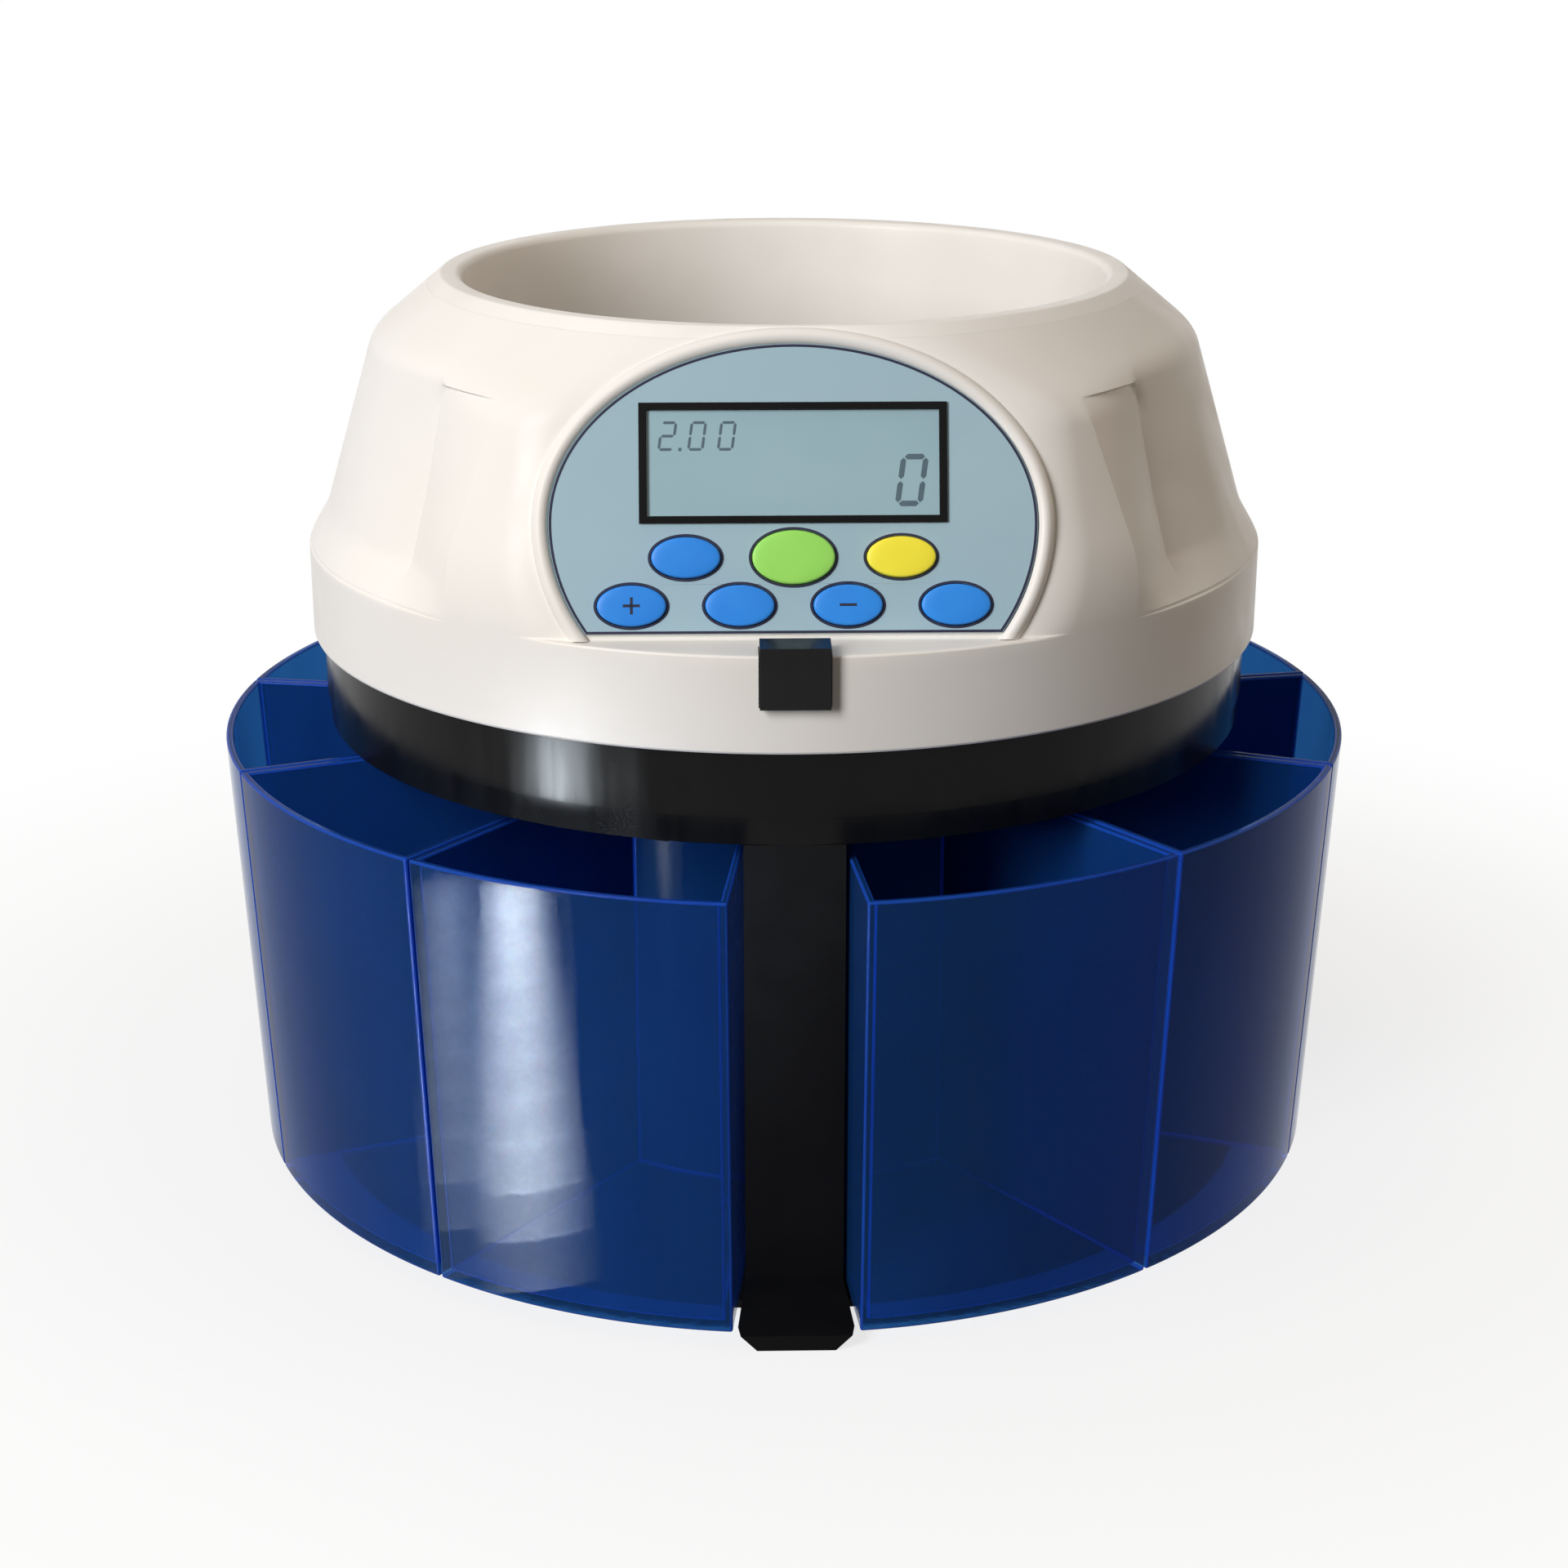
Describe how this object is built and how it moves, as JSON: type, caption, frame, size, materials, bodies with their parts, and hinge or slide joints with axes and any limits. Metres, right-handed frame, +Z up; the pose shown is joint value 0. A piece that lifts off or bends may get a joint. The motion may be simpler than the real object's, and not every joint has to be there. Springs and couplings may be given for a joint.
{
  "type": "coin sorter",
  "caption": "Counter-top coin sorter: white domed hopper with a keypad and display over a turning disc, a graded rail and a ring of clear blue pull-out coin boxes.",
  "frame": {"origin": "on the floor under the axis of the coin disc, which is the middle of the part's footprint", "axes": "+Z up along the disc's axis, -Y to the front where the panel faces, +X to the right seen from the front"},
  "size_m": [0.35, 0.3486, 0.275],
  "materials": {
    "white_plastic": "warm white moulded plastic, fine satin grain",
    "bowl_plastic": "greyish white moulded plastic",
    "black_gloss": "polished black plastic",
    "black_matte": "fine grained black plastic",
    "rubber": "black rubber",
    "blue_clear": "translucent blue plastic",
    "steel": "brushed",
    "cast_bracket": "cast and blasted",
    "transformer_steel": "varnished laminations",
    "circuit_board": "green solder mask",
    "panel_print": "printed film, grey blue",
    "display_glass": "grey green display window",
    "disc_plastic": "dark grey plastic",
    "gear_plastic": "natural acetal",
    "pinion_brass": "machined",
    "key_blue": "moulded rubber key, blue",
    "key_green": "moulded rubber key, green",
    "key_yellow": "moulded rubber key, yellow",
    "rocker_red": "red plastic"
  },
  "bodies": {
    "base": {"base_plate": "black_matte", "rubber_feet": "rubber", "central_drum": "black_matte", "front_pillar": "black_matte", "rear_cabinet": "black_matte", "rear_panel": "black_matte", "power_inlet": "black_matte", "inlet_blades": "steel", "switch_body": "black_matte", "transformer": "transformer_steel", "main_board": "circuit_board", "lower_ring": "black_gloss", "lower_deck": "black_gloss", "upper_ring": "black_gloss", "rail_posts": "steel", "sorting_rail": "steel", "rail_guide": "steel", "coin_chutes": "black_matte", "coin_sensors": "black_matte", "shaft_bearings": "steel", "motor_bracket": "cast_bracket", "gearbox": "steel", "motor": "steel", "chassis_screws": "steel", "hinge_bracket": "black_matte", "hinge_pin": "steel", "latch_catch": "steel"},
    "cover": {"top_housing": "white_plastic", "hopper_bowl": "bowl_plastic", "panel_overlay": "panel_print", "lcd_bezel": "black_gloss", "lcd_glass": "display_glass", "display_board": "circuit_board", "key_board": "circuit_board", "key_switches": "black_matte", "hinge_leaf": "black_matte", "leaf_screws": "steel"},
    "latch": {"latch_button": "black_gloss"},
    "disc": {"coin_disc": "disc_plastic", "hub_cap": "disc_plastic", "drive_shaft": "steel", "drive_gear": "gear_plastic"},
    "pinion": {"motor_pinion": "pinion_brass"},
    "rocker": {"power_rocker": "rocker_red"},
    "key_upper_left": {"key_upper_left": "key_blue"},
    "key_upper_middle": {"key_upper_middle": "key_green"},
    "key_upper_right": {"key_upper_right": "key_yellow"},
    "key_lower_1": {"key_lower_1": "key_blue"},
    "key_lower_2": {"key_lower_2": "key_blue"},
    "key_lower_3": {"key_lower_3": "key_blue"},
    "key_lower_4": {"key_lower_4": "key_blue"},
    "coin_box_1": {"coin_box_1": "blue_clear"},
    "coin_box_2": {"coin_box_2": "blue_clear"},
    "coin_box_3": {"coin_box_3": "blue_clear"},
    "coin_box_4": {"coin_box_4": "blue_clear"},
    "coin_box_5": {"coin_box_5": "blue_clear"},
    "coin_box_6": {"coin_box_6": "blue_clear"},
    "coin_box_7": {"coin_box_7": "blue_clear"},
    "coin_box_8": {"coin_box_8": "blue_clear"}
  },
  "joints": [
    {"name": "cover_hinge", "type": "hinge", "parent": "base", "child": "cover", "pos_m": [0, 0.153, 0.165], "axis": [-1, 0, 0], "range_deg": [0, 70]},
    {"name": "latch_push", "type": "slide", "parent": "cover", "child": "latch", "axis": [0, 1, 0], "range_m": [0, 0.0025], "stiffness_N_per_m": 600},
    {"name": "disc_spin", "type": "hinge", "parent": "base", "child": "disc", "pos_m": [0, 0, 0.1538], "axis": [0, 0, 1], "continuous": true},
    {"name": "pinion_spin", "type": "hinge", "parent": "base", "child": "pinion", "pos_m": [0, 0.04385, 0.125], "axis": [0, 0, 1], "continuous": true},
    {"name": "rocker_tip", "type": "hinge", "parent": "base", "child": "rocker", "pos_m": [-0.0155, 0.16813, 0.055], "axis": [1, 0, 0], "range_deg": [0, 20]},
    {"name": "key_upper_left_press", "type": "slide", "parent": "cover", "child": "key_upper_left", "axis": [0, 0.9438, -0.3305], "range_m": [0, 0.0008], "stiffness_N_per_m": 1500},
    {"name": "key_upper_middle_press", "type": "slide", "parent": "cover", "child": "key_upper_middle", "axis": [0, 0.9438, -0.3305], "range_m": [0, 0.0008], "stiffness_N_per_m": 1500},
    {"name": "key_upper_right_press", "type": "slide", "parent": "cover", "child": "key_upper_right", "axis": [0, 0.9438, -0.3305], "range_m": [0, 0.0008], "stiffness_N_per_m": 1500},
    {"name": "key_lower_1_press", "type": "slide", "parent": "cover", "child": "key_lower_1", "axis": [0, 0.9438, -0.3305], "range_m": [0, 0.0008], "stiffness_N_per_m": 1500},
    {"name": "key_lower_2_press", "type": "slide", "parent": "cover", "child": "key_lower_2", "axis": [0, 0.9438, -0.3305], "range_m": [0, 0.0008], "stiffness_N_per_m": 1500},
    {"name": "key_lower_3_press", "type": "slide", "parent": "cover", "child": "key_lower_3", "axis": [0, 0.9438, -0.3305], "range_m": [0, 0.0008], "stiffness_N_per_m": 1500},
    {"name": "key_lower_4_press", "type": "slide", "parent": "cover", "child": "key_lower_4", "axis": [0, 0.9438, -0.3305], "range_m": [0, 0.0008], "stiffness_N_per_m": 1500},
    {"name": "coin_box_1_pull", "type": "slide", "parent": "base", "child": "coin_box_1", "axis": [-0.3671, -0.9302, 0], "range_m": [0, 0.11]},
    {"name": "coin_box_2_pull", "type": "slide", "parent": "base", "child": "coin_box_2", "axis": [-0.7967, -0.6044, 0], "range_m": [0, 0.11]},
    {"name": "coin_box_3_pull", "type": "slide", "parent": "base", "child": "coin_box_3", "axis": [-0.9947, -0.103, 0], "range_m": [0, 0.11]},
    {"name": "coin_box_4_pull", "type": "slide", "parent": "base", "child": "coin_box_4", "axis": [-0.9036, 0.4283, 0], "range_m": [0, 0.11]},
    {"name": "coin_box_5_pull", "type": "slide", "parent": "base", "child": "coin_box_5", "axis": [0.3671, -0.9302, 0], "range_m": [0, 0.11]},
    {"name": "coin_box_6_pull", "type": "slide", "parent": "base", "child": "coin_box_6", "axis": [0.7967, -0.6044, 0], "range_m": [0, 0.11]},
    {"name": "coin_box_7_pull", "type": "slide", "parent": "base", "child": "coin_box_7", "axis": [0.9947, -0.103, 0], "range_m": [0, 0.11]},
    {"name": "coin_box_8_pull", "type": "slide", "parent": "base", "child": "coin_box_8", "axis": [0.9036, 0.4283, 0], "range_m": [0, 0.11]}
  ],
  "couplings": [
    {"joint": "pinion_spin", "follows": "disc_spin", "ratio": -4}
  ]
}
